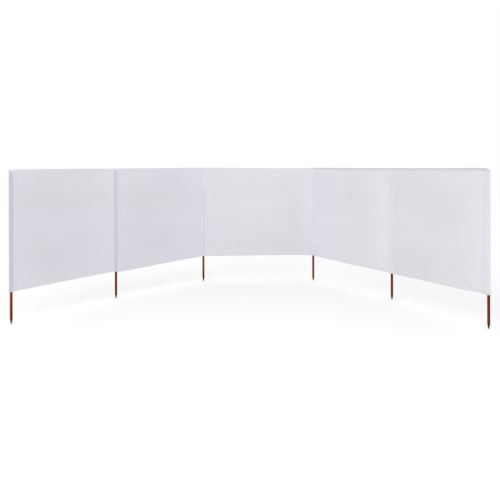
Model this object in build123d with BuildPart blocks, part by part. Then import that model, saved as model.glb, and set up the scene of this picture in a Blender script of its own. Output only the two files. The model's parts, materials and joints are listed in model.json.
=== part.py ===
from build123d import *

import math
import os

# Beach windbreak: five bays of cloth on six pointed poles, standing in an open arc.
# The frame has its origin on the tip of pole 3, +X along the middle bay to pole 4
# and +Z up. The outer bays come round towards -Y. Sizes are in millimetres.

# Poles
pole_d = 22.0
tip_d = 8.0
tip_length = 36.0
tip_edge = 1.0
pole_top_edge = 2.0
exposed_leg = 250.0

# Cloth
bay_pitch = 1170.0
cloth_height = 950.0
cloth_t = 1.0
hem_depth = 24.0
hem_layers = 3

# Pockets that hold the poles, measured from the pole's axis
pocket_seam = 42.0
pocket_seam_width = 8.0
end_seam = 22.0
end_seam_width = 5.0

# Clearances
pole_clearance = 0.3
fold_clearance = 0.5

# How far the line of the cloth turns at poles 2 to 5, in degrees
turn_2 = 8.0
turn_3 = 48.0
turn_4 = 60.0
turn_5 = 7.0

pole_r = pole_d / 2
cloth_top = exposed_leg + cloth_height
pocket_in_r = pole_r + pole_clearance
pocket_out_r = pocket_in_r + cloth_t
pocket_roof = cloth_top - hem_depth
pole_length = pocket_roof - pole_clearance
seam_t = 2 * cloth_t
hem_t = hem_layers * cloth_t

os.makedirs("parts", exist_ok=True)


def save(piece, name):
    """Label a finished piece and write it to its own file."""
    piece.label = name
    export_step(piece, f"parts/{name}.step")


# Where each bay starts, and which way it runs, seen from above. Bays are told from
# left to right, and each one starts at the pole that is nearer to the middle bay.

def away(start, heading, distance):
    """The point that lies a distance from start along a heading."""
    angle = math.radians(heading)
    return (start[0] + distance * math.cos(angle), start[1] + distance * math.sin(angle))


heading = {3: 0.0}
heading[4] = heading[3] - turn_4
heading[5] = heading[4] - turn_5
heading[2] = 180.0 + turn_3
heading[1] = heading[2] + turn_2

pole_at = {3: (0.0, 0.0)}
pole_at[4] = away(pole_at[3], heading[3], bay_pitch)
pole_at[5] = away(pole_at[4], heading[4], bay_pitch)
pole_at[6] = away(pole_at[5], heading[5], bay_pitch)
pole_at[2] = away(pole_at[3], heading[2], bay_pitch)
pole_at[1] = away(pole_at[2], heading[1], bay_pitch)

bay_start = {1: 2, 2: 3, 3: 3, 4: 4, 5: 5}


def floor_plane(place, direction, height=0.0):
    """A level plane at a point, with its X axis along a heading."""
    angle = math.radians(direction)
    return Plane(
        origin=(place[0], place[1], height),
        x_dir=(math.cos(angle), math.sin(angle), 0),
        z_dir=(0, 0, 1),
    )


def bay_plane(bay, height=0.0):
    """The level plane of a bay: X runs along its cloth, from the pole it starts at."""
    return floor_plane(pole_at[bay_start[bay]], heading[bay], height)


def upright_plane(place, direction):
    """The upright plane across a heading: its X axis is level and its Y axis is up."""
    angle = math.radians(direction)
    return Plane(
        origin=(place[0], place[1], 0),
        x_dir=(-math.sin(angle), math.cos(angle), 0),
        z_dir=(math.cos(angle), math.sin(angle), 0),
    )


def back_side(bay):
    """+1 or -1: the side of the bay's Y axis that faces the back, where hems fold."""
    return -1 if bay in (1, 2) else 1


# Poles: turned round stakes, tapered to a blunt tip

def make_pole(number):
    with BuildPart() as pole:
        with BuildSketch(Plane.XZ.offset(-pole_at[number][1])):
            with BuildLine(Location((pole_at[number][0], 0))):
                Polyline(
                    (0, 0),
                    (tip_d / 2 - tip_edge, 0),
                    (tip_d / 2, tip_edge),
                    (pole_r, tip_length),
                    (pole_r, pole_length - pole_top_edge),
                    (pole_r - pole_top_edge, pole_length),
                    (0, pole_length),
                    close=True,
                )
            make_face()
        revolve(axis=Axis((pole_at[number][0], pole_at[number][1], 0), (0, 0, 1)))
    save(pole.part, f"pole_{number}")


for number in pole_at:
    make_pole(number)


# Pockets: cloth sewn round each pole and drawn to a flat seam beside it. Above the
# pole the two sides come together, and the seam that holds the hem closes them.

def pocket_form(place, direction, radius, thickness, reaches, roof, top):
    """The space inside cloth that is drawn round a circle, and pinched flat on top."""
    with BuildPart() as form:
        with BuildSketch(floor_plane(place, direction, exposed_leg)):
            for reach in reaches:
                with BuildSketch(mode=Mode.PRIVATE) as side:
                    Circle(radius)
                    with Locations((reach / 2, 0)):
                        Rectangle(abs(reach), thickness)
                    make_hull()
                add(side.sketch)
        extrude(amount=top - exposed_leg)
        with BuildSketch(upright_plane(place, direction)):
            with BuildLine():
                Polyline(
                    (-radius, exposed_leg),
                    (radius, exposed_leg),
                    (radius, roof),
                    (thickness / 2, top),
                    (-thickness / 2, top),
                    (-radius, roof),
                    close=True,
                )
            make_face()
        extrude(amount=2 * max(pocket_seam, end_seam), both=True, mode=Mode.INTERSECT)
    return form.part


def make_pocket(pole, bay, towards):
    """The pocket of a pole on its own bay. towards is +1 if the bay runs along +X."""
    seams = {towards * pocket_seam: pocket_seam_width}
    if pole in (1, 6):
        seams[-towards * end_seam] = end_seam_width
    outside = list(seams)
    inside = [reach - math.copysign(width, reach) for reach, width in seams.items()]
    place = pole_at[pole]
    outer = pocket_form(
        place, heading[bay], pocket_out_r, seam_t, outside, pocket_roof, cloth_top
    )
    inner = pocket_form(
        place, heading[bay], pocket_in_r, pole_clearance, inside,
        pocket_roof, cloth_top - hem_t,
    )
    with BuildPart() as pocket:
        add(outer)
        add(inner, mode=Mode.SUBTRACT)
    save(pocket.part, f"pocket_{pole}")


make_pocket(1, 1, -1)
make_pocket(2, 2, -1)
make_pocket(3, 3, 1)
make_pocket(4, 3, -1)
make_pocket(5, 4, -1)
make_pocket(6, 5, -1)


# Cloth: one stretched panel a bay, from seam to seam. A bay that folds about its
# first pole also has a doubled edge there, which runs up to that pole's pocket.

def make_cloth(bay):
    first = pocket_seam
    length = bay_pitch - 2 * pocket_seam
    panel_bottom = exposed_leg + hem_depth
    panel_height = cloth_height - 2 * hem_depth
    with BuildPart() as cloth:
        with BuildSketch(bay_plane(bay, panel_bottom)):
            with Locations((first + length / 2, 0)):
                Rectangle(length, cloth_t)
        extrude(amount=panel_height)
        if bay != 3:
            edge_start = pocket_out_r + fold_clearance
            edge_width = pocket_seam - edge_start
            with BuildSketch(bay_plane(bay, exposed_leg)):
                with Locations((edge_start + edge_width / 2, 0)):
                    Rectangle(edge_width, seam_t)
            extrude(amount=cloth_height)
    save(cloth.part, f"cloth_{bay}")


# Hems: the cloth's edge turned over to the back twice and sewn down

def make_hem(bay, name, edge_height, inward):
    """inward is +1 where the hem reaches up from its fold and -1 where it reaches down."""
    seam_at = away(pole_at[bay_start[bay]], heading[bay], pocket_seam)
    side = back_side(bay)
    front = -side * cloth_t / 2
    back = front + side * hem_t
    with BuildPart() as hem:
        with BuildSketch(upright_plane(seam_at, heading[bay])):
            with BuildLine():
                fold_r = hem_t / 2
                low = edge_height + inward * fold_r
                high = edge_height + inward * hem_depth
                middle = (front + back) / 2
                Polyline((back, low), (back, high), (front, high), (front, low))
                ThreePointArc((front, low), (middle, edge_height), (back, low))
            make_face()
        extrude(amount=bay_pitch - 2 * pocket_seam)
    save(hem.part, f"{name}_{bay}")


for bay in bay_start:
    make_cloth(bay)
    make_hem(bay, "top_hem", cloth_top, -1)
    make_hem(bay, "bottom_hem", exposed_leg, 1)
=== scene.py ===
import json
import math
from collections import namedtuple

import bpy
import numpy as np
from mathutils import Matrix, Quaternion, Vector


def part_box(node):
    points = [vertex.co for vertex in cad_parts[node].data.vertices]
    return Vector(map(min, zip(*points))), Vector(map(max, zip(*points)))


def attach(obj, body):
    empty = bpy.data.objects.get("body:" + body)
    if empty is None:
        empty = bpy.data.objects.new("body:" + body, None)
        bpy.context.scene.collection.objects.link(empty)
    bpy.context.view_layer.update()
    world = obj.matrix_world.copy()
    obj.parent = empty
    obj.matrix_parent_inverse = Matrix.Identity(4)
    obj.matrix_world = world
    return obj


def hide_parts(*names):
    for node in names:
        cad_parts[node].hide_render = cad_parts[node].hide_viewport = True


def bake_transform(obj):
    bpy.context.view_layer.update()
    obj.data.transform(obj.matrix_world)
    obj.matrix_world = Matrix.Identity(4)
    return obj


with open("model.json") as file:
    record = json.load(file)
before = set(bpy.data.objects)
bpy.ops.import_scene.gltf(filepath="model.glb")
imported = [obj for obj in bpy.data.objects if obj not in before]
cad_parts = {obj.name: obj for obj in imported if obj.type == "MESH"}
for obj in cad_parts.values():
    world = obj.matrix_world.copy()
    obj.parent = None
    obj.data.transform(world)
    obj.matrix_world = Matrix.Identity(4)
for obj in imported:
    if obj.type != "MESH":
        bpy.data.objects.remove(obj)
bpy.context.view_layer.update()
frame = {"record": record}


# Camera
# It stands at eye height 7 m in front of the middle bay and looks level, so the poles
# stay upright in the picture. The shift sets the horizon a third of the way down.
eye = Vector((0.2338, -7.0064, 1.2438))
turned_right = math.radians(1.0422)
rolled = 0.0022

lens = bpy.data.cameras.new("camera")
lens.lens = 47.415
lens.sensor_width = 36.0
lens.shift_x = 0.0256
lens.shift_y = -0.17244
lens.clip_end = 200.0
camera = bpy.data.objects.new("camera", lens)
camera.location = eye
camera.rotation_mode = "QUATERNION"
camera.rotation_quaternion = (
    Quaternion((0, 0, 1), -turned_right)
    @ Quaternion((1, 0, 0), math.radians(90))
    @ Quaternion((0, 0, 1), -rolled)
)
bpy.context.scene.collection.objects.link(camera)
bpy.context.scene.camera = camera


# Poles
# Six turned softwood stakes of 22 mm, stained red-brown, with a cone turned on the
# foot and its end left blunt. Each one stands inside its pocket up to the top hem.
pole_place = {
    int(mount["name"].split("_")[1]): np.array(mount["pos_m"][:2])
    for mount in frame["record"]["mounts"]
    if mount["name"].endswith("_foot")
}
pole_body = {
    1: "left_outer_bay",
    2: "left_inner_bay",
    3: "middle_bay",
    4: "middle_bay",
    5: "right_inner_bay",
    6: "right_outer_bay",
}
pole_r = 0.011
pole_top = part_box("pole_3")[1].z
tip_r = 0.004
tip_length = 0.036
tip_edge = 0.0011
top_edge = 0.002
# How deep the lathe's marks are, and how many faces go round a pole
lathe_marks = 0.00012
pole_sides = 48


def add_node(tree, kind, into=None, **settings):
    """A node with its settings. Each value of into is a number, a colour or a socket, and
    goes to the input that it is named or numbered for."""
    node = tree.nodes.new(kind)
    for name, value in settings.items():
        setattr(node, name, value)
    for socket, value in (into or {}).items():
        if isinstance(value, bpy.types.NodeSocket):
            tree.links.new(value, node.inputs[socket])
        else:
            node.inputs[socket].default_value = value
    return node


def new_material(name):
    """A material with one Principled shader, and that shader."""
    material = bpy.data.materials.new(name)
    material.use_nodes = True
    return material, material.node_tree.nodes["Principled BSDF"]


def work_out(tree, operation, *values):
    """What a Math node makes of some numbers or sockets."""
    into = dict(enumerate(values))
    return add_node(tree, "ShaderNodeMath", into, operation=operation).outputs[0]


def noise(tree, place, scale, detail, **more):
    """Noise over a place, from 0 to 1."""
    into = {"Vector": place, "Scale": scale, "Detail": detail, **more}
    return add_node(tree, "ShaderNodeTexNoise", into).outputs["Fac"]


def stained_wood():
    """Long grain up the pole, stain that took unevenly, and a foot that is darker towards its tip.
    """
    material, surface = new_material("stained_wood")
    tree = material.node_tree
    place = add_node(tree, "ShaderNodeTexCoord").outputs["Object"]
    up_grain = add_node(
        tree, "ShaderNodeMapping", {"Vector": place, "Scale": (1.0, 1.0, 0.018)}
    ).outputs["Vector"]
    fine = noise(tree, up_grain, 620.0, 4.0, Roughness=0.6)
    rings = noise(tree, up_grain, 150.0, 2.0, Distortion=0.6)
    clouds = noise(tree, place, 16.0, 2.0)
    grain = work_out(tree, "MULTIPLY", fine, rings)
    stain = add_node(tree, "ShaderNodeValToRGB", {"Fac": grain})
    ramp = stain.color_ramp
    ramp.elements[0].position, ramp.elements[0].color = 0.14, (0.108, 0.017, 0.003, 1)
    ramp.elements[1].position, ramp.elements[1].color = 0.40, (0.285, 0.051, 0.008, 1)
    middle = ramp.elements.new(0.26)
    middle.color = (0.196, 0.032, 0.005, 1)
    uneven = add_node(
        tree, "ShaderNodeMapRange",
        {"Value": clouds, "From Min": 0.3, "From Max": 0.7, "To Min": 0.80, "To Max": 1.14},
    ).outputs["Result"]
    height = add_node(tree, "ShaderNodeSeparateXYZ", {"Vector": place}).outputs["Z"]
    foot = add_node(
        tree, "ShaderNodeMapRange",
        {"Value": height, "From Min": 0.012, "From Max": 0.046, "To Min": 0.36, "To Max": 1.0},
        interpolation_type="SMOOTHSTEP",
    ).outputs["Result"]
    taken = add_node(tree, "ShaderNodeAttribute", attribute_name="stain").outputs["Fac"]
    shade = work_out(tree, "MULTIPLY", uneven, foot)
    depth = work_out(tree, "MULTIPLY", shade, taken)
    colour = add_node(
        tree, "ShaderNodeVectorMath", {0: stain.outputs["Color"], "Scale": depth},
        operation="SCALE",
    ).outputs["Vector"]
    gloss = add_node(
        tree, "ShaderNodeMapRange", {"Value": grain, "To Min": 0.72, "To Max": 0.52}
    ).outputs["Result"]
    bump = add_node(
        tree, "ShaderNodeBump", {"Height": grain, "Strength": 0.5, "Distance": 0.0006}
    ).outputs["Normal"]
    tree.links.new(colour, surface.inputs["Base Color"])
    tree.links.new(gloss, surface.inputs["Roughness"])
    tree.links.new(bump, surface.inputs["Normal"])
    surface.inputs["Specular IOR Level"].default_value = 0.07
    return material


wood = stained_wood()

# How light the stain came out on each pole
stain_on = {1: 1.10, 2: 0.92, 3: 0.88, 4: 1.00, 5: 0.72, 6: 0.76}


def turn_pole(number):
    """A stake as it comes off the lathe: rings from the foot to the rounded top edge."""
    rng = np.random.default_rng(number)
    foot = [(0.0, 0.0), (tip_r - 0.0014, 0.0), (tip_r - 0.0004, 0.0003), (tip_r, tip_edge)]
    cone = [
        (tip_r + (pole_r - tip_r) * t, tip_edge + (tip_length - tip_edge) * t)
        for t in (0.2, 0.4, 0.6, 0.8, 0.94)
    ]
    shoulder = [
        (pole_r - 0.00015, tip_length - 0.0008), (pole_r, tip_length + 0.0008),
        (pole_r, tip_length + 0.004),
    ]
    shaft = [
        (pole_r - rng.uniform(0.0, lathe_marks), height)
        for height in np.arange(0.08, pole_top - 0.02, 0.04)
    ]
    top = [
        (pole_r - top_edge + top_edge * math.cos(a), pole_top - top_edge + top_edge * math.sin(a))
        for a in np.radians((0, 22, 45, 68, 90))
    ]
    profile = np.array(foot + cone + shoulder + shaft + top + [(0.0, pole_top)])
    angle = np.linspace(0, 2 * math.pi, pole_sides, endpoint=False)
    centre = pole_place[number]
    points = [(centre[0], centre[1], 0.0)]
    for radius, height in profile[1:-1]:
        for a in angle:
            points.append(
                (centre[0] + radius * math.cos(a), centre[1] + radius * math.sin(a), height)
            )
    points.append((centre[0], centre[1], pole_top))
    last = len(points) - 1
    faces = []
    for side in range(pole_sides):
        beside = (side + 1) % pole_sides
        faces.append((0, 1 + beside, 1 + side))
        for ring in range(len(profile) - 3):
            low, high = 1 + ring * pole_sides, 1 + (ring + 1) * pole_sides
            faces.append((low + side, low + beside, high + beside, high + side))
        end = last - pole_sides
        faces.append((end + side, end + beside, last))
    mesh = bpy.data.meshes.new(f"turned_pole_{number}")
    mesh.from_pydata(points, [], faces)
    stain = mesh.attributes.new("stain", "FLOAT", "POINT")
    stain.data.foreach_set("value", np.full(len(points), stain_on[number], np.float32))
    mesh.polygons.foreach_set("use_smooth", np.ones(len(faces), bool))
    mesh.materials.append(wood)
    pole = bpy.data.objects.new(f"turned_pole_{number}", mesh)
    bpy.context.scene.collection.objects.link(pole)
    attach(pole, pole_body[number])
    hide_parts(f"pole_{number}")


for number in pole_place:
    turn_pole(number)


# Bay cloth
# Five lengths of one pale plain-woven canvas, stretched from pocket to pocket. The top
# and bottom edges are turned over twice to the back, 24 mm deep.
bay_body = {
    1: "left_outer_bay",
    2: "left_inner_bay",
    3: "middle_bay",
    4: "right_inner_bay",
    5: "right_outer_bay",
}
bay_length = float(np.linalg.norm(pole_place[2] - pole_place[1]))
along = {bay: (pole_place[bay + 1] - pole_place[bay]) / bay_length for bay in bay_body}
facing = {bay: np.array((along[bay][1], -along[bay][0])) for bay in bay_body}
cloth_bottom = 0.250
cloth_top = 1.200
cloth_height = cloth_top - cloth_bottom
cloth_t = 0.0007
# From one layer of a hem to the next
layer = 0.0008
hem_depth = 0.024
# From a pole's axis to its pocket's seam, and to the cloth's outer end at the end poles
pocket_seam = 0.042
end_edge = 0.0245
bay_width = bay_length - 2 * pocket_seam
# The sleeves are sewn on behind, so the cloth runs a little in front of the poles' axes
forward = 0.006

# How much the bottom and the top edge have risen or sunk as the cloth was stretched:
# places along the run of cloth, in bays from pole 1, and the rise there
bottom_rise = (
    (0.0, -0.001), (0.95, 0.001), (1.06, -0.012), (1.30, -0.004), (1.50, 0.004),
    (1.80, 0.011), (2.00, 0.015), (2.36, 0.016), (2.56, 0.0205), (2.97, 0.0210),
    (3.05, 0.012), (3.30, 0.006), (3.60, -0.004), (3.95, -0.007), (4.06, -0.012),
    (4.40, -0.005), (4.70, -0.002), (4.95, 0.005),
)
top_rise = (
    (0.0, 0.0040), (0.90, 0.0027), (1.50, 0.0015), (2.06, 0.0035), (2.40, -0.0021),
    (2.88, -0.0035), (3.05, -0.0008), (3.60, -0.0011), (4.20, 0.0017), (4.50, 0.0037),
    (4.90, 0.0066),
)

# How far the top corner has sunk at the first and at the last pole
corner_sink = (0.0045, 0.0115)

# Depth of each bay's belly, in metres towards the front
belly = {1: -0.009, 2: -0.006, 3: -0.010, 4: 0.006, 5: 0.008}

# Soft patches of painted light and shade, where the cloth is paler or darker, seen from the front:
# paler mostly at the bays' ends beside a pole, darker across the slack of each bay. Place across
# and up the bay, half width and half height, and how much paler
patches = {
    1: (
        (0.30, 0.72, 0.34, 0.12, -0.058), (0.38, 0.22, 0.36, 0.17, -0.052),
        (0.98, 0.96, 0.16, 0.12, 0.050), (1.00, 0.40, 0.26, 0.50, 0.030),
        (0.25, 0.45, 0.25, 0.10, -0.014),
    ),
    2: (
        (0.33, 0.70, 0.28, 0.12, -0.040), (0.40, 0.22, 0.30, 0.18, -0.030),
        (0.96, 0.92, 0.18, 0.12, 0.048), (1.05, 0.30, 0.38, 0.55, 0.082),
        (0.04, 0.92, 0.10, 0.12, 0.020),
    ),
    3: (
        (0.84, 0.36, 0.08, 0.34, -0.022), (0.45, 0.10, 0.50, 0.14, -0.012),
        (0.50, 0.45, 0.60, 0.60, 0.014), (0.99, 0.60, 0.10, 0.60, 0.072),
        (0.45, 0.88, 0.30, 0.10, -0.012),
    ),
    4: (
        (0.58, 0.74, 0.20, 0.16, -0.036), (0.02, 0.32, 0.32, 0.40, 0.066),
        (0.95, 0.30, 0.20, 0.60, 0.050), (0.30, 0.84, 0.30, 0.10, -0.010),
        (0.60, 0.06, 0.40, 0.10, 0.022),
    ),
    5: (
        (0.58, 0.66, 0.24, 0.20, -0.056), (0.20, 0.85, 0.30, 0.20, -0.046),
        (0.40, 0.18, 0.34, 0.16, -0.036), (0.98, 0.40, 0.14, 0.60, 0.024),
        (0.95, 1.00, 0.26, 0.016, -0.085),
    ),
}

# Cooler patches, in the same way
cool_patches = {
    1: ((0.70, 0.80, 0.22, 0.10, 1.0), (0.25, 0.72, 0.14, 0.08, 0.5)),
    2: ((0.20, 0.78, 0.14, 0.12, 0.6), (0.58, 0.70, 0.16, 0.10, 1.0)),
    3: ((0.55, 0.80, 0.28, 0.20, 1.0),),
    4: ((0.35, 0.60, 0.30, 0.30, 0.4),),
    5: ((0.40, 0.60, 0.40, 0.30, 0.4),),
}

# Painted shade: the cloth is made bluer on the bays that the lamp lights less.
# How much bluer the cloth is painted along its run: places in bays from pole 1, and how much
painted_shade_blue = ((0.0, 2.0, 2.2, 2.8, 2.95, 3.15, 3.35, 5.0), (1.0, 1.0, 0.1, 0.1, 0.6, 0.8, 0.2, 0.0))

# How much paler the turned hems are painted, or darker where the number is negative, at the top
# and at the bottom of each bay: painted light and shade, most of all the painted shade along
# the top fold of bays 4 and 5
hem_painted_light_and_shade = {
    1: (-0.014, 0.004), 2: (-0.010, 0.004), 3: (0.004, -0.018),
    4: (-0.165, -0.006), 5: (-0.145, -0.006),
}


def smooth(value, low, high):
    """0 below low, 1 above high and an even curve between."""
    t = np.clip((value - low) / (high - low), 0.0, 1.0)
    return t * t * (3 - 2 * t)


def eased(place, table):
    """A value from a table of places and values, with an even curve between two places."""
    places, values = np.array(table).T
    after = np.clip(np.searchsorted(places, place), 1, len(places) - 1)
    share = smooth(place, places[after - 1], places[after])
    return values[after - 1] * (1 - share) + values[after] * share


def settle(run, height):
    """Heights of the cloth once its edges were stretched and the end corners have sunk."""
    place = run / bay_length
    low = eased(place, bottom_rise) * (1 - smooth(height, cloth_bottom, cloth_bottom + 0.40))
    high = eased(place, top_rise) * smooth(height, cloth_top - 0.30, pole_top)
    sink = corner_sink[0] * smooth(-run, -0.045, end_edge)
    sink = sink + corner_sink[1] * smooth(run - 5 * bay_length, -0.030, end_edge)
    return height + low + high - sink * smooth(height, pole_top + 0.001, cloth_top)


def swell(bay, across, height):
    """How far a stretched bay stands in front of the straight line between its poles."""
    u = across / bay_length
    v = (height - cloth_bottom) / cloth_height
    from_seam = np.clip(np.minimum(across, bay_length - across) - pocket_seam, 0, None)
    free = 1 - np.exp(-from_seam / 0.060)
    between = np.clip((across - pocket_seam) / bay_width, 0, 1)
    round_belly = belly[bay] * 4 * between * (1 - between) * (0.70 + 0.30 * np.sin(math.pi * v))

    # Two slack waves up the bay, and small puckers beside its seams
    waves = 0.0022 * np.sin(2 * math.pi * (height / 0.47 + 0.55 * u + 0.23 * bay))
    waves = waves + 0.0014 * np.sin(2 * math.pi * (height / 0.29 - 0.8 * u + 0.37 * bay))
    near_seam = np.exp(-from_seam / 0.055) * (1 - np.exp(-from_seam / 0.008))
    puckers = 0.0016 * near_seam * np.sin(
        2 * math.pi * height / 0.088 + 1.7 * np.sin(2 * math.pi * height / 0.33 + bay)
    )

    # Creases that fan out where the cloth is pulled by its corners
    pulls = 0.0
    for corner_u, corner_v, lean in ((0, 1, 0.55), (1, 1, 0.48), (0, 0, 0.62), (1, 0, 0.52)):
        out = np.abs(across - corner_u * bay_length) - pocket_seam
        down = np.abs(height - (cloth_bottom + corner_v * cloth_height))
        reach = np.hypot(out, down)
        for fan, tall in ((lean, 0.0038), (lean * 1.9, -0.0024), (lean * 0.4, -0.0020)):
            off_line = down * math.cos(fan) - out * math.sin(fan)
            width = 0.010 + 0.10 * reach
            pulls = pulls + tall * np.exp(-((off_line / width) ** 2)) * (
                smooth(reach, 0.01, 0.07) * np.exp(-reach / 0.20)
            )
    return round_belly + free * waves + puckers + free * pulls


def bay_point(bay, across, height, out):
    """A point of a bay, out in metres in front of its cloth's middle."""
    across, height, out = np.broadcast_arrays(across, height, out)
    ahead = out + forward + swell(bay, across, height)
    flat = (
        pole_place[bay]
        + across[..., None] * along[bay]
        + ahead[..., None] * facing[bay]
    )
    run = (bay - 1) * bay_length + across
    return np.concatenate([flat, settle(run, height)[..., None]], axis=-1)


def blots(patch_list, u, v):
    """The sum of soft round patches."""
    total = np.zeros(np.broadcast(u, v).shape)
    for place_u, place_v, half_u, half_v, amount in patch_list:
        total += amount * np.exp(-(((u - place_u) / half_u) ** 2 + ((v - place_v) / half_v) ** 2))
    return total


def bay_painted_light_and_tone(bay, across, height):
    """How much paler the cloth is than its mean, with painted light and shade in it, and how cool.
    """
    u = across / bay_length
    v = (height - cloth_bottom) / cloth_height
    tone = blots(patches[bay], u, v)
    at_top, at_bottom = hem_painted_light_and_shade[bay]
    tone = tone + at_top * smooth(height, cloth_top - hem_depth - 0.004, cloth_top - 0.008)
    tone = tone + at_bottom * (
        1 - smooth(height, cloth_bottom + hem_depth - 0.003, cloth_bottom + hem_depth + 0.003)
    )
    return tone, np.clip(blots(cool_patches[bay], u, v), 0, 1)


def turned_edge(depth):
    """One edge of the cloth turned over twice, from the hidden end to the face: how far in
    from the edge each point lies, and its depth, which is negative behind the face."""
    half = layer / 2
    section = [(0.012, -layer), (0.018, -layer), (depth - half, -layer)]
    for a in np.radians((45, 90, 135)):
        section.append((depth - half + half * math.sin(a), -1.5 * layer + half * math.cos(a)))
    for rise in np.linspace(depth - half, layer, 8):
        section.append((rise, -2 * layer))
    for a in np.radians((30, 60, 90, 120, 150)):
        section.append((layer - layer * math.sin(a), -layer - layer * math.cos(a)))
    section.append((layer, 0.0))
    return np.array(section)


def distances(line):
    """How far along a line each of its points lies."""
    steps = np.linalg.norm(np.diff(np.array(line), axis=0), axis=1)
    return np.concatenate([[0.0], np.cumsum(steps)])


hem = turned_edge(hem_depth)
face = np.concatenate([
    np.linspace(0.0035, hem_depth + 0.008, 9),
    np.linspace(hem_depth + 0.016, cloth_height - hem_depth - 0.016, 86),
    np.linspace(cloth_height - hem_depth - 0.008, cloth_height - 0.0035, 9),
])
section = np.concatenate([
    np.stack([cloth_bottom + hem[:, 0], hem[:, 1]], axis=1),
    np.stack([cloth_bottom + face, 0 * face], axis=1),
    np.stack([cloth_top - hem[::-1, 0], hem[::-1, 1]], axis=1),
])
section_length = distances(section)


def plain_weave():
    """Shader group: over-and-under yarns with slubs, laid out in metres on the cloth's own map."""
    group = bpy.data.node_groups.new("plain_weave", "ShaderNodeTree")
    for name, value in (("Yarns per metre", 1250.0), ("Yarn Relief", 1.0), ("Slub", 0.5)):
        socket = group.interface.new_socket(name, in_out="INPUT", socket_type="NodeSocketFloat")
        socket.default_value = value
    for name in ("Height", "Tone"):
        group.interface.new_socket(name, in_out="OUTPUT", socket_type="NodeSocketFloat")
    given = add_node(group, "NodeGroupInput").outputs
    result = add_node(group, "NodeGroupOutput")
    cloth_map = add_node(group, "ShaderNodeUVMap", uv_map="cloth_map").outputs["UV"]
    axes = add_node(group, "ShaderNodeSeparateXYZ", {"Vector": cloth_map}).outputs
    turns = work_out(group, "MULTIPLY", given["Yarns per metre"], math.pi)
    waves = [
        work_out(group, "SINE", work_out(group, "MULTIPLY", axes[axis], turns)) for axis in "XY"
    ]
    checks = work_out(group, "MULTIPLY", *waves)
    relief = work_out(group, "MULTIPLY", checks, given["Yarn Relief"])
    slubs = []
    for scale in ((14.0, 620.0, 1.0), (620.0, 14.0, 1.0)):
        stretched = add_node(
            group, "ShaderNodeMapping", {"Vector": cloth_map, "Scale": scale}
        ).outputs["Vector"]
        slubs.append(add_node(
            group, "ShaderNodeTexNoise",
            {"Vector": stretched, "Scale": 1.0, "Detail": 2.0, "Roughness": 0.55},
            noise_dimensions="2D",
        ).outputs["Fac"])
    centred = work_out(group, "SUBTRACT", work_out(group, "ADD", *slubs), 1.0)
    slub = work_out(group, "MULTIPLY", centred, given["Slub"])
    height = work_out(group, "ADD", relief, slub)
    group.links.new(height, result.inputs["Height"])
    group.links.new(slub, result.inputs["Tone"])
    return group


weave = plain_weave()

# What each point of the cloth carries for its material: how much paler it is, painted light and
# shade included, how cool, how much bluer with painted shade, how much the wood and painted
# shade darken it, and how near it lies to a seam
cloth_marks = ("tone", "cool", "painted_shade_blue", "wood_and_painted_shade", "sewn")


def mixed(tree, share, first, second):
    """The first colour, turning into the second as share goes from 0 to 1."""
    into = {"Factor": share, 6: first, 7: second}
    return add_node(tree, "ShaderNodeMix", into, data_type="RGBA").outputs[2]


def canvas_cloth():
    """Bleached canvas: uneven tone with painted light and shade in it, yarns, seams that pucker,
    and wood that shows through with painted shade.
    """
    material, surface = new_material("pale_canvas")
    tree = material.node_tree
    place = add_node(tree, "ShaderNodeTexCoord").outputs["Object"]
    marks = {
        name: add_node(tree, "ShaderNodeAttribute", attribute_name=name).outputs["Fac"]
        for name in cloth_marks
    }
    yarns = add_node(
        tree, "ShaderNodeGroup",
        {"Yarns per metre": 1250.0, "Yarn Relief": 0.35, "Slub": 0.8},
        node_tree=weave,
    ).outputs
    clouds = noise(tree, place, 3.4, 3.0)
    # Painted shade: the cloth turns bluer where the lamp lights it less
    white = mixed(tree, marks["painted_shade_blue"], (0.700, 0.690, 0.719, 1), (0.700, 0.687, 0.739, 1))
    cooled = mixed(tree, marks["cool"], white, (0.690, 0.705, 0.740, 1))
    uneven = add_node(
        tree, "ShaderNodeMapRange",
        {"Value": clouds, "From Min": 0.3, "From Max": 0.7, "To Min": 0.990, "To Max": 1.010},
    ).outputs["Result"]
    slubby = work_out(tree, "MULTIPLY_ADD", yarns["Tone"], 0.10, uneven)
    toned = work_out(tree, "ADD", slubby, marks["tone"])
    cloth = add_node(
        tree, "ShaderNodeVectorMath", {0: cooled, "Scale": toned}, operation="SCALE"
    ).outputs["Vector"]
    # Darker where the wood shows through, with painted shade in the same mark
    through = work_out(tree, "MULTIPLY", marks["wood_and_painted_shade"], 0.34)
    colour = mixed(tree, through, cloth, (0.300, 0.285, 0.330, 1))
    puckers = work_out(tree, "MULTIPLY", noise(tree, place, 95.0, 2.0), marks["sewn"])
    yarn_height = work_out(tree, "MULTIPLY", yarns["Height"], 0.16)
    relief = work_out(tree, "ADD", yarn_height, puckers)
    bump = add_node(
        tree, "ShaderNodeBump", {"Height": relief, "Strength": 0.6, "Distance": 0.0011}
    ).outputs["Normal"]
    rough = add_node(
        tree, "ShaderNodeMapRange", {"Value": clouds, "To Min": 0.80, "To Max": 0.90}
    ).outputs["Result"]
    tree.links.new(colour, surface.inputs["Base Color"])
    tree.links.new(rough, surface.inputs["Roughness"])
    tree.links.new(bump, surface.inputs["Normal"])
    surface.inputs["Specular IOR Level"].default_value = 0.25
    surface.inputs["Sheen Weight"].default_value = 0.06
    surface.inputs["Sheen Roughness"].default_value = 0.6
    return material


canvas = canvas_cloth()


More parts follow.
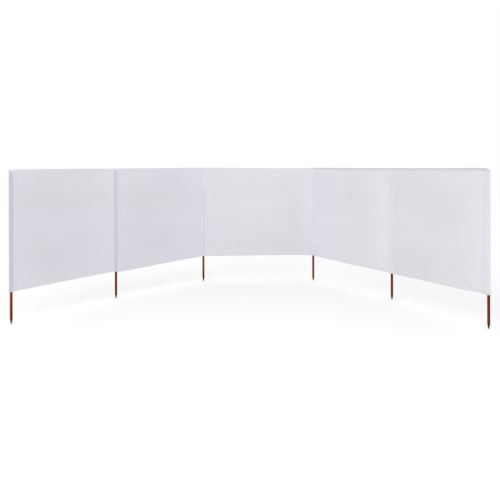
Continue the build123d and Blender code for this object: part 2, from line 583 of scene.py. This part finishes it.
def cloth_piece(name, points, run, rise, marks):
    """Cloth from rows of points. run and rise are its map in metres, and marks are what its
    points carry."""
    count_up, count_across = points.shape[:2]
    index = np.arange(count_up * count_across).reshape(count_up, count_across)
    faces = np.stack(
        [index[:-1, :-1], index[:-1, 1:], index[1:, 1:], index[1:, :-1]], axis=-1
    ).reshape(-1, 4)
    mesh = bpy.data.meshes.new(name)
    mesh.from_pydata(points.reshape(-1, 3), [], faces.tolist())
    shape = (count_up, count_across)
    place = np.stack([np.broadcast_to(run, shape), np.broadcast_to(rise, shape)], axis=-1)
    corners = np.zeros(len(mesh.loops), np.int32)
    mesh.loops.foreach_get("vertex_index", corners)
    cloth_map = mesh.uv_layers.new(name="cloth_map")
    cloth_map.data.foreach_set("uv", place.reshape(-1, 2)[corners].astype(np.float32).ravel())
    for mark in cloth_marks:
        attribute = mesh.attributes.new(mark, "FLOAT", "POINT")
        value = np.broadcast_to(marks.get(mark, 0.0), shape).astype(np.float32)
        attribute.data.foreach_set("value", value.ravel())
    mesh.polygons.foreach_set("use_smooth", np.ones(len(faces), bool))
    mesh.materials.append(canvas)
    piece = bpy.data.objects.new(name, mesh)
    bpy.context.scene.collection.objects.link(piece)
    wall = piece.modifiers.new("cloth_thickness", "SOLIDIFY")
    wall.thickness = cloth_t
    wall.offset = 0.0
    return piece


def sewn_hems(height):
    """1 in the turned hems, 0 a little way into the cloth."""
    return smooth(height, cloth_top - 0.036, cloth_top - 0.022) + 1 - smooth(
        height, cloth_bottom + 0.022, cloth_bottom + 0.036
    )


# The columns of points stand closer beside the seams
across = pocket_seam + np.concatenate([
    np.linspace(0, 0.055, 11),
    np.linspace(0.064, bay_width - 0.064, 96),
    np.linspace(bay_width - 0.055, bay_width, 11),
])
for bay in bay_body:
    height, depth = section[:, :1], section[:, 1:]
    points = bay_point(bay, across[None, :], height, depth)
    tone, cool = bay_painted_light_and_tone(bay, across[None, :], height)
    from_seam = np.minimum(across, bay_length - across)[None, :] - pocket_seam
    piece = cloth_piece(
        f"bay_cloth_{bay}", points, (bay - 1) * bay_length + across[None, :],
        section_length[:, None],
        {
            # Painted highlight: a little paler along each seam
            "tone": tone + 0.018 * np.exp(-((from_seam / 0.007) ** 2)),
            "cool": cool, "painted_shade_blue": np.interp(bay - 1 + across / bay_length, *painted_shade_blue),
            "sewn": np.clip(sewn_hems(height) + np.exp(-from_seam / 0.010), 0, 1),
        },
    )
    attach(piece, bay_body[bay])
    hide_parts(f"cloth_{bay}", f"top_hem_{bay}", f"bottom_hem_{bay}")


# Pole pockets
# The run of cloth passes in front of each pole, and a sleeve strip sewn on behind with
# its edges turned under holds the pole. The top hem closes both and the foot is open.
pole_play = 0.0003
wrap_r = pole_r + pole_play + cloth_t / 2
# How far the turned bottom hem pushes both layers off the pole at the pocket's mouth
mouth_stand = 0.00165
# From the bay's cloth to the edge of a sleeve or a binding sewn on it
sewn_on = 0.00085
# How far the front layer runs on behind the bay's cloth, and how far back it is tucked
seam_lap = 0.0016
seam_tuck = 0.00075
# The sleeves were cut from elsewhere on the cloth, so their yarns differ from the front's
sleeve_map_start = 7.3
# Points across a pocket
columns = 41

Side = namedtuple("Side", "direction front reach outer")


def passing(number, side):
    """How the cloth leaves a pole on one side: which way it runs and which way it faces, how
    far its pocket reaches, and whether the whole windbreak ends there."""
    bay = number - 1 if side == "left" else number
    outer = bay not in bay_body
    if outer:
        bay = number if side == "left" else number - 1
    direction = -along[bay] if side == "left" else along[bay]
    return Side(direction, facing[bay], end_edge - 0.0009 if outer else pocket_seam, outer)


def evenly(line, count):
    """The line again, with that many points at even distances."""
    line = np.array(line)
    length = distances(line)
    at = np.linspace(0, length[-1], count)
    return np.stack([np.interp(at, length, line[:, axis]) for axis in (0, 1)], axis=1)


def soften(line, times):
    """Rounds the corners of a line and keeps its ends."""
    for _ in range(times):
        line = np.concatenate([
            line[:1], (line[:-2] + 2 * line[1:-1] + line[2:]) / 4, line[-1:]
        ])
    return line


def round_pole(centre, start, end, front):
    """A line drawn from start to end past the front side of a pole, seen from above."""
    def angle(point):
        v = point - centre
        return math.atan2(front[0] * v[1] - front[1] * v[0], front @ v)

    def touch(point):
        free = math.acos(wrap_r / np.linalg.norm(point - centre))
        return angle(point) - math.copysign(free, angle(point))

    first, last = touch(start), touch(end)
    if (first - last) * angle(start) <= 0:
        turns = [0.0]
    else:
        turns = np.linspace(first, last, 15)
    arc = [
        centre + wrap_r * np.array((
            front[0] * math.cos(t) - front[1] * math.sin(t),
            front[1] * math.cos(t) + front[0] * math.sin(t),
        ))
        for t in turns
    ]
    return [start, *arc, end]


def outward(line, front):
    """Unit vectors across a line, on the side that front points to."""
    run = np.gradient(line, axis=0)
    across = np.stack([run[:, 1], -run[:, 0]], axis=1)
    across /= np.linalg.norm(across, axis=1)[:, None]
    return across * np.sign(across @ front)[:, None]


def at_mouth(height):
    """1 at the mouth of a pocket, where the bottom hem is turned, and 0 above it."""
    return 1 - smooth(height, cloth_bottom + 0.0245, cloth_bottom + 0.034)


class Pocket:
    """The lines that the cloth of one pocket follows, at any height."""

    def __init__(self, number):
        self.number = number
        self.centre = pole_place[number]
        left, right = passing(number, "left"), passing(number, "right")
        self.left, self.right = left, right
        front = left.front + right.front
        self.front = front / np.linalg.norm(front)
        start = self.centre + left.direction * left.reach + left.front * forward
        end = self.centre + right.direction * right.reach + right.front * forward
        middle = self.centre + self.front * forward / (self.front @ left.front)
        sharp = left.direction @ right.direction > -0.9
        self.fore = soften(
            evenly(round_pole(self.centre, start, end, self.front), columns),
            10 if sharp else 2,
        )
        behind_start = start - left.front * 2 * layer
        behind_end = end - right.front * 2 * layer
        self.aft = soften(
            evenly(round_pole(self.centre, behind_start, behind_end, -self.front), columns), 2
        )
        self.shut = soften(evenly([start, middle, end], columns), 6)
        away = np.linspace(0, 1, columns)
        reach = np.minimum(away, 1 - away) * (left.reach + right.reach)
        self.over_pole = smooth(reach, 0.004, 0.016)
        lapped = 1 - smooth(reach, 0.0035, 0.0115)
        self.under = np.where(away < 0.5, lapped * (not left.outer), lapped * (not right.outer))
        self.run = (number - 1) * bay_length + np.linspace(-left.reach, right.reach, columns)

    def closing(self, height):
        """0 where the pocket is open round the pole, 1 where it is sewn shut above."""
        return smooth(height, pole_top + 0.0015, cloth_top - 0.003)

    def fore_line(self, height, out=0.0):
        """The front layer at one height, out in metres before it."""
        shut = self.closing(height)
        line = (1 - shut) * self.fore + shut * self.shut
        ahead = out + mouth_stand * at_mouth(height) * self.over_pole - seam_tuck * self.under
        return line + outward(line, self.front) * ahead[:, None]

    def aft_line(self, height, out=0.0):
        """The sleeve at one height, out in metres behind it."""
        shut = self.closing(height)
        flat = self.shut - outward(self.shut, self.front) * 2 * layer
        line = (1 - shut) * self.aft + shut * flat
        return line + outward(line, -self.front) * (out + mouth_stand * at_mouth(height))


# Where the wood shows through the front of each pocket, with painted shade in the same mark:
# strongest on poles 1 and 2, over the outer flap of pole 1 past the wood, and a little above
# the pole tops into the closed pockets. From and to across the pole, how softly it ends, and
# how strong it is at heights from foot to top hem
wood_and_shade_bands = {
    1: (-0.030, 0.009, 0.014, (0.25, 0.80, 1.18), (1.10, 1.10, 1.04)),
    2: (
        -0.029, 0.006, 0.006, (0.25, 0.60, 0.80, 1.00, 1.18), (0.93, 0.88, 0.81, 0.84, 0.96),
    ),
    3: (0.000, 0.011, 0.003, (0.25, 0.60, 0.93, 1.00, 1.18), (0.75, 0.70, 0.66, 0.08, 0.0)),
    4: (
        0.001, 0.016, 0.006,
        (0.25, 0.70, 0.98, 1.02, 1.06, 1.09), (0.20, 0.28, 0.40, 0.62, 0.60, 0.05),
    ),
    5: (-0.008, 0.018, 0.010, (0.25, 0.90, 0.98, 1.06, 1.18), (0.10, 0.10, 0.20, 0.25, 0.0)),
    6: (-0.020, 0.020, 0.008, (0.25, 0.85, 0.95, 1.18), (0.02, 0.04, 0.14, 0.20)),
}
shows_through_sleeve = 0.45

# Painted highlights along the left and the right seam of a pocket: how much paler the cloth is
# painted there, where the seams catch the light
seam_highlight = {
    1: (0.010, 0.040), 2: (0.012, 0.020), 3: (0.0, 0.062),
    4: (0.012, 0.012), 5: (0.045, 0.0), 6: (0.012, 0.020),
}


def pocket_marks(pocket, height, line, on_front):
    """The marks of one row of a pocket's cloth."""
    number = pocket.number
    share = np.linspace(0, 1, len(line))
    sides = [max(number - 1, 1), min(number, 5)]
    (tone_a, cool_a), (tone_b, cool_b) = (
        bay_painted_light_and_tone(bay, pocket_seam if bay == number else bay_length - pocket_seam, height)
        for bay in sides
    )
    across = (line - pocket.centre) @ np.array((-pocket.front[1], pocket.front[0]))
    # Darkened where the wood shows through, and with painted shade past it
    first, last, soft, heights, strengths = wood_and_shade_bands[number]
    band = smooth(across, first - soft, first + soft) - smooth(across, last - soft, last + soft)
    strength = np.interp(height, heights, strengths) if on_front else shows_through_sleeve
    # The painted shade reaches 3 to 13 mm above the pole's top into the closed pocket
    strength *= 1 - smooth(height, pole_top + 0.003, pole_top + 0.013)
    # Painted highlights along the two seams
    reach = 2 * pocket_seam
    at_left, at_right = (
        amount * np.exp(-((away / 0.009) ** 2))
        for amount, away in zip(seam_highlight[number], (share * reach, (1 - share) * reach))
    )
    sewn = np.exp(-np.minimum(share, 1 - share) * reach / 0.008) + sewn_hems(height)
    return {
        "tone": (1 - share) * tone_a + share * tone_b + at_left + at_right,
        "cool": (1 - share) * cool_a + share * cool_b,
        "painted_shade_blue": np.full(len(line), np.interp(number - 1, *painted_shade_blue)),
        "wood_and_painted_shade": strength * band,
        "sewn": np.clip(sewn, 0, 1) * np.ones(len(line)),
    }


def gather(rows):
    """Rows of marks as one array for each mark."""
    return {mark: np.stack([row[mark] for row in rows]) for mark in rows[0]}


def set_body(piece, number):
    """A pocket of an end pole rides on its bay; any other keeps its place and rides on no body."""
    if number in (1, 6):
        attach(piece, pole_body[number])
        return
    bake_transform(piece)


def in_space(line, run, height):
    """A line seen from above as points in space, where its cloth has settled."""
    return np.column_stack([line, settle(run, height)])


def pocket_front(number, pocket):
    """The run of cloth before a pole, with its top hem folded back over the sleeve."""
    rows, marks = [], []
    top_hem_start = len(section) - len(hem)
    for index, (height, depth) in enumerate(section):
        on_front = index < top_hem_start or depth == 0.0
        if on_front:
            line = pocket.fore_line(height, depth)
        elif height > cloth_top - layer - 1e-9:
            # The fold at the top edge joins the front layer and the flap behind the sleeve
            share = -depth / (2 * layer)
            flap = pocket.aft_line(height, 2 * layer)
            line = (1 - share) * pocket.fore_line(height) + share * flap
        else:
            line = pocket.aft_line(height, -depth)
        for end, side in ((0, pocket.left), (-1, pocket.right)):
            if not side.outer:
                line[end] += side.direction * seam_lap
        rows.append(in_space(line, pocket.run, height))
        marks.append(pocket_marks(pocket, height, line, on_front))
    front = cloth_piece(
        f"pocket_front_{number}", np.stack(rows), pocket.run[None, :],
        section_length[:, None], gather(marks),
    )
    set_body(front, number)
    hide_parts(f"pocket_{number}")


def turned_under(number, bay, side, height, out):
    """The edge of a sleeve beside a bay, turned under against the cloth, at one height."""
    if side.outer:
        return np.zeros((0, 2))
    near = -(sewn_on + mouth_stand * at_mouth(height)) - out
    far = near - layer
    middle = (near + far) / 2
    beyond, behind = np.array([
        (0.0022, near), (0.0042, near), (0.0047, middle + 0.0002),
        (0.0047, middle - 0.0002), (0.0042, far), (0.0018, far),
    ]).T
    at = bay_length - pocket_seam - beyond if bay < number else pocket_seam + beyond
    return bay_point(bay, at, height, behind)[:, :2]


def pocket_sleeve(number, pocket):
    """The strip sewn on behind a pole, its foot turned up once to the outside, 12 mm deep."""
    # At two of the poles the foot reaches 4 mm lower than the front
    low = cloth_bottom - (0.004 if number in (4, 6) else 0.0)
    high = cloth_top - 0.0215
    turned_up = [
        (0.012, layer), (0.006, layer), (0.0006, layer), (0.0, layer / 2), (0.0006, 0.0)
    ]
    rising = np.concatenate([np.linspace(0.004, 0.036, 9), np.linspace(0.048, high - low, 72)])
    sleeve = [(low + rise, out) for rise, out in turned_up]
    sleeve += [(low + rise, 0.0) for rise in rising]
    rows, marks = [], []
    for height, out in sleeve:
        at_left = turned_under(number, number - 1, pocket.left, height, out)
        at_right = turned_under(number, number, pocket.right, height, out)
        line = np.concatenate([at_left, pocket.aft_line(height, out), at_right[::-1]])
        run = np.interp(np.linspace(0, 1, len(line)), np.linspace(0, 1, columns), pocket.run)
        rows.append(in_space(line, run, height))
        marks.append(pocket_marks(pocket, height, line, False))
    rise = distances(sleeve)
    width = float(distances(line)[-1])
    sleeve_run = (number - 1) * bay_length + sleeve_map_start + np.linspace(0, width, len(line))
    back = cloth_piece(
        f"pocket_sleeve_{number}", np.stack(rows), sleeve_run[None, :], rise[:, None],
        gather(marks),
    )
    set_body(back, number)


pockets = {number: Pocket(number) for number in pole_place}
for number, pocket in pockets.items():
    pocket_front(number, pocket)
    pocket_sleeve(number, pocket)


# End bindings
# A folded strip of the same canvas closes the raw outer edges of the two end pockets,
# sewn through all the layers from the top corner down to the foot.
binding_seam = 0.0212
binding_fold = 0.0236


def binding_depths(height):
    """How far the binding stands before and behind the cloth's middle. It holds two layers,
    and more of them at the foot and in the top hem."""
    at_top = smooth(height, cloth_top - 0.030, cloth_top - 0.024)
    return sewn_on, -(2 * layer + sewn_on + 0.0026 * at_mouth(height) + 0.0012 * at_top)


def beside_end(number, beyond, out, height):
    """Points on the outer side of an end pole, out in metres before the cloth's middle."""
    side = pockets[number].left if number == 1 else pockets[number].right
    beyond, out, height = np.broadcast_arrays(beyond, out, height)
    away = beyond[:, None] * side.direction + (out + forward)[:, None] * side.front
    run = (number - 1) * bay_length + away @ along[min(number, 5)]
    return in_space(pole_place[number] + away, run, height)


for number in (1, 6):
    heights = np.concatenate([
        [cloth_bottom + 0.0004], np.linspace(cloth_bottom + 0.004, cloth_bottom + 0.036, 9),
        np.linspace(cloth_bottom + 0.05, cloth_top - 0.04, 60),
        np.linspace(cloth_top - 0.034, cloth_top - 0.0004, 10),
    ])
    rows = []
    for height in heights:
        before, behind = binding_depths(height)
        middle, half = (before + behind) / 2, (before - behind) / 2
        sewn_part = (binding_seam - 0.002, binding_seam, binding_seam + 0.002)
        line = [(beyond, before) for beyond in sewn_part]
        line += [
            (binding_fold + 0.0013 * math.sin(a), middle + half * math.cos(a))
            for a in np.radians((25, 50, 75, 105, 130, 155))
        ]
        line += [(beyond, behind) for beyond in sewn_part[::-1]]
        beyond, out = np.array(line).T
        rows.append(beside_end(number, beyond, out, height))
    width = float(distances(rows[-1][:, :2])[-1])
    tone = bay_painted_light_and_tone(min(number, 5), 0.0 if number == 1 else bay_length, heights)[0]
    binding = cloth_piece(
        f"end_binding_{number}", np.stack(rows),
        np.linspace(0, width, len(line))[None, :] + number, heights[:, None],
        {
            "tone": tone[:, None] + 0.010, "sewn": 0.6,
            # At pole 1 the binding is darkened with painted shade, with no wood behind it
            "wood_and_painted_shade": 0.9 if number == 1 else 0.0, "painted_shade_blue": np.interp(number - 1, *painted_shade_blue),
        },
    )
    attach(binding, pole_body[number])


# Stitching
# White polyester thread in a long lockstitch: one row along each hem and each pocket
# seam and one through each end binding, seen on both faces of the cloth.
def thread_finish():
    """Spun thread, a little whiter than the canvas, with its ply as fine relief."""
    material, surface = new_material("sewing_thread")
    tree = material.node_tree
    place = add_node(tree, "ShaderNodeTexCoord").outputs["Object"]
    ply = noise(tree, place, 2600.0, 1.0)
    shade = add_node(tree, "ShaderNodeValToRGB", {"Fac": ply})
    ramp = shade.color_ramp
    ramp.elements[0].position, ramp.elements[0].color = 0.3, (0.66, 0.65, 0.69, 1)
    ramp.elements[1].position, ramp.elements[1].color = 0.7, (0.80, 0.79, 0.82, 1)
    bump = add_node(
        tree, "ShaderNodeBump", {"Height": ply, "Strength": 0.4, "Distance": 0.0002}
    ).outputs["Normal"]
    tree.links.new(shade.outputs["Color"], surface.inputs["Base Color"])
    tree.links.new(bump, surface.inputs["Normal"])
    surface.inputs["Roughness"].default_value = 0.6
    surface.inputs["Sheen Weight"].default_value = 0.1
    return material


thread = thread_finish()


def lockstitch():
    """Geometry tree: a stitch laid along every line at an even pitch, each a little askew."""
    tree = bpy.data.node_groups.new("lockstitch", "GeometryNodeTree")
    tree.interface.new_socket("Geometry", in_out="OUTPUT", socket_type="NodeSocketGeometry")
    tree.interface.new_socket("Seam Lines", in_out="INPUT", socket_type="NodeSocketGeometry")
    for name, value in (
        ("Pitch", 0.0046), ("Stitch Length", 0.0036), ("Thread Width", 0.00062), ("Askew", 0.06)
    ):
        socket = tree.interface.new_socket(name, in_out="INPUT", socket_type="NodeSocketFloat")
        socket.default_value = value
    tree.interface.new_socket("Thread", in_out="INPUT", socket_type="NodeSocketMaterial")
    given = add_node(tree, "NodeGroupInput").outputs
    lines = add_node(tree, "GeometryNodeMeshToCurve", {"Mesh": given["Seam Lines"]}).outputs[0]
    spaced = add_node(
        tree, "GeometryNodeResampleCurve", {"Curve": lines, "Length": given["Pitch"]},
        mode="LENGTH",
    ).outputs[0]
    along_seam = add_node(tree, "GeometryNodeInputTangent").outputs[0]
    laid = add_node(
        tree, "FunctionNodeAlignRotationToVector", {"Vector": along_seam}, axis="X"
    ).outputs[0]
    less = work_out(tree, "MULTIPLY", given["Askew"], -1.0)
    low = add_node(tree, "ShaderNodeCombineXYZ", {"X": less, "Y": less, "Z": less}).outputs[0]
    high = add_node(
        tree, "ShaderNodeCombineXYZ",
        {"X": given["Askew"], "Y": given["Askew"], "Z": given["Askew"]},
    ).outputs[0]
    askew = add_node(
        tree, "FunctionNodeRandomValue", {"Min": low, "Max": high, "Seed": 7},
        data_type="FLOAT_VECTOR",
    ).outputs[0]
    turned = add_node(
        tree, "FunctionNodeRotateRotation", {"Rotation": laid, "Rotate By": askew},
        rotation_space="LOCAL",
    ).outputs[0]
    half_length = work_out(tree, "MULTIPLY", given["Stitch Length"], 0.5)
    half_width = work_out(tree, "MULTIPLY", given["Thread Width"], 0.5)
    size = add_node(
        tree, "ShaderNodeCombineXYZ", {"X": half_length, "Y": half_width, "Z": half_width}
    ).outputs[0]
    bead = add_node(
        tree, "GeometryNodeMeshIcoSphere", {"Radius": 1.0, "Subdivisions": 1}
    ).outputs["Mesh"]
    stitch = add_node(
        tree, "GeometryNodeTransform", {"Geometry": bead, "Scale": size}
    ).outputs[0]
    sewn = add_node(
        tree, "GeometryNodeInstanceOnPoints",
        {"Points": spaced, "Instance": stitch, "Rotation": turned},
    ).outputs[0]
    real = add_node(tree, "GeometryNodeRealizeInstances", {"Geometry": sewn}).outputs[0]
    rounded = add_node(tree, "GeometryNodeSetShadeSmooth", {"Geometry": real}).outputs[0]
    finished = add_node(
        tree, "GeometryNodeSetMaterial", {"Geometry": rounded, "Material": given["Thread"]}
    ).outputs[0]
    add_node(tree, "NodeGroupOutput", {"Geometry": finished})
    return tree


stitch_tree = lockstitch()


def sew(name, lines):
    """One piece of stitching along several lines of points."""
    points, edges = [], []
    for line in lines:
        first = len(points)
        points.extend(map(tuple, line))
        edges.extend((first + i, first + i + 1) for i in range(len(line) - 1))
    drawn = bpy.data.meshes.new(f"{name}_lines")
    drawn.from_pydata(points, edges, [])
    guide = bpy.data.objects.new(f"{name}_lines", drawn)
    bpy.context.scene.collection.objects.link(guide)
    sewing = guide.modifiers.new("lockstitch", "NODES")
    sewing.node_group = stitch_tree
    for item in stitch_tree.interface.items_tree:
        if item.item_type == "SOCKET" and item.in_out == "INPUT" and item.name == "Thread":
            sewing[item.identifier] = thread
    bpy.context.view_layer.update()
    graph = bpy.context.evaluated_depsgraph_get()
    mesh = bpy.data.meshes.new_from_object(guide.evaluated_get(graph))
    mesh.name = name
    bpy.data.objects.remove(guide)
    piece = bpy.data.objects.new(name, mesh)
    bpy.context.scene.collection.objects.link(piece)
    return piece


# The stitches lie just clear of the cloth, 21 mm in from each edge
clear = cloth_t / 2 + 0.00012
hem_rows = (cloth_bottom + 0.0212, cloth_top - 0.0212)
row_across = np.linspace(pocket_seam + 0.004, bay_length - pocket_seam - 0.004, 130)
for bay in bay_body:
    lines = [
        bay_point(bay, row_across, height, out)
        for height in hem_rows
        for out in (clear, -2 * layer - clear)
    ]
    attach(sew(f"hem_stitches_{bay}", lines), bay_body[bay])

seam_heights = np.linspace(cloth_bottom + 0.003, cloth_top - 0.003, 110)
under_hem = seam_heights[seam_heights <= cloth_top - hem_depth]
for number, pocket in pockets.items():
    lines = [in_space(pocket.fore_line(height, clear), pocket.run, height) for height in hem_rows]
    top_back = pocket.aft_line(hem_rows[1], 2 * layer + clear)
    lines.append(in_space(top_back, pocket.run, hem_rows[1]))
    for bay, side in ((number - 1, pocket.left), (number, pocket.right)):
        if side.outer:
            before, behind = binding_depths(seam_heights)
            lines.append(beside_end(number, binding_seam, before + clear, seam_heights))
            lines.append(beside_end(number, binding_seam, behind - clear, seam_heights))
            continue
        at = bay_length - pocket_seam - seam_lap if bay < number else pocket_seam + seam_lap
        lines.append(bay_point(bay, at, seam_heights, clear))
        back = -(sewn_on + layer + mouth_stand * at_mouth(under_hem)) - clear
        lines.append(bay_point(bay, at, under_hem, back))
    set_body(sew(f"pocket_stitches_{number}", lines), number)


# Floor and light
# A pale studio floor under an even white surround, with one large soft lamp high on
# the left of the camera. The camera sees both as white, and the floor keeps shadows.
def plainly_seen(tree):
    """1 for the camera, mirrors and glass, and 0 for light that falls on the windbreak."""
    rays = add_node(tree, "ShaderNodeLightPath").outputs
    seen = work_out(tree, "MAXIMUM", rays["Is Camera Ray"], rays["Is Glossy Ray"])
    return work_out(tree, "MAXIMUM", seen, rays["Is Transmission Ray"])


def pale_floor():
    """A matt white floor that shows white to the camera where nothing shades it."""
    material, surface = new_material("studio_floor")
    tree = material.node_tree
    surface.inputs["Base Color"].default_value = (0.80, 0.80, 0.80, 1)
    surface.inputs["Roughness"].default_value = 0.9
    lift = work_out(tree, "MULTIPLY", plainly_seen(tree), 0.13)
    surface.inputs["Emission Color"].default_value = (1, 1, 1, 1)
    tree.links.new(lift, surface.inputs["Emission Strength"])
    return material


floor_reach = 60.0
floor_corners = [
    (x * floor_reach, y * floor_reach, 0.0) for x, y in ((-1, -1), (1, -1), (1, 1), (-1, 1))
]
ground = bpy.data.meshes.new("studio_floor")
ground.from_pydata(floor_corners, [], [(0, 1, 2, 3)])
ground.materials.append(pale_floor())
floor = bpy.data.objects.new("studio_floor", ground)
bpy.context.scene.collection.objects.link(floor)

surround = bpy.data.worlds.new("studio_surround")
surround.use_nodes = True
sky = surround.node_tree
for node in list(sky.nodes):
    sky.nodes.remove(node)
strength = add_node(
    sky, "ShaderNodeMapRange", {"Value": plainly_seen(sky), "To Min": 1.06, "To Max": 1.0}
).outputs["Result"]
light_all_round = add_node(
    sky, "ShaderNodeBackground", {"Color": (1, 1, 1, 1), "Strength": strength}
).outputs[0]
add_node(sky, "ShaderNodeOutputWorld", {"Surface": light_all_round})
bpy.context.scene.world = surround

soft_lamp = bpy.data.lights.new("soft_lamp", "AREA")
soft_lamp.shape = "RECTANGLE"
soft_lamp.size = 5.0
soft_lamp.size_y = 3.0
soft_lamp.energy = 170.0
lamp = bpy.data.objects.new("soft_lamp", soft_lamp)
lamp.location = (-3.6, -9.0, 5.0)
lamp.rotation_mode = "QUATERNION"
lit_spot = Vector((0.4, -0.6, 0.7))
lamp.rotation_quaternion = (lit_spot - lamp.location).to_track_quat("-Z", "Y")
bpy.context.scene.collection.objects.link(lamp)

bpy.context.scene.view_settings.view_transform = "Standard"

bpy.context.view_layer.update()
